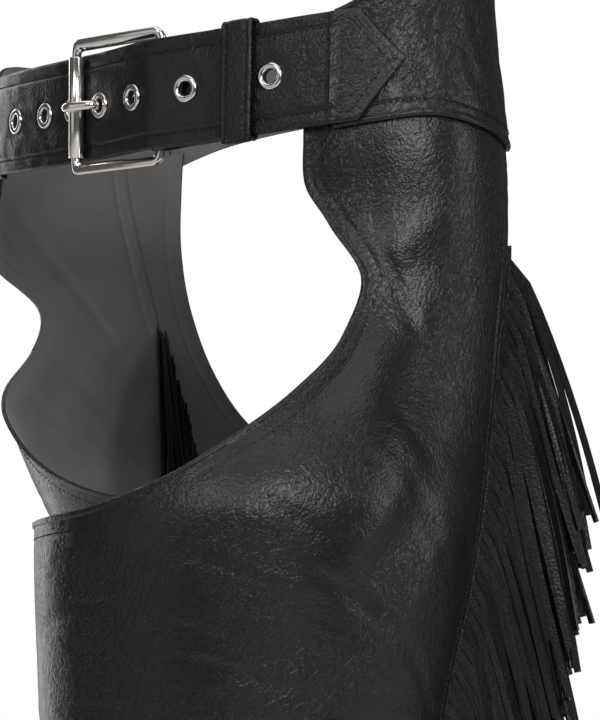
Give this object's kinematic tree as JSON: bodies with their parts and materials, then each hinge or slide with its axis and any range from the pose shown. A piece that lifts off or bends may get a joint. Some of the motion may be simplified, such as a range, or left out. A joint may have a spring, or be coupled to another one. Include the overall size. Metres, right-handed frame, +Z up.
{
  "type": "leather chaps",
  "caption": "Worn pair of black leather chaps, open at front and seat, with a buckled belt, hip yokes and fringed outer leg seams.",
  "frame": {"origin": "the middle of the waist ring, level with the belt's middle", "axes": "+Z up, the wearer faces -Y, the wearer's left is +X"},
  "size_m": [0.3827, 0.5072, 1.0308],
  "materials": {
    "leather": "pebbled, semi-gloss",
    "nickel": "polished nickel"
  },
  "bodies": {
    "root": {"yoke_left": "leather", "yoke_right": "leather", "leg_front_left": "leather", "leg_front_right": "leather", "leg_back_left": "leather", "leg_back_right": "leather", "strap_buckle": "leather", "strap_tongue": "leather", "keeper": "leather", "fringe_left": "leather", "fringe_right": "leather", "buckle_frame": "nickel", "buckle_roller": "nickel", "buckle_prong": "nickel", "eyelet_strap": "nickel", "eyelet_tongue_1": "nickel", "eyelet_tongue_2": "nickel", "eyelet_tongue_3": "nickel", "eyelet_tongue_4": "nickel", "eyelet_tongue_5": "nickel", "eyelet_tongue_6": "nickel"}
  },
  "joints": []
}
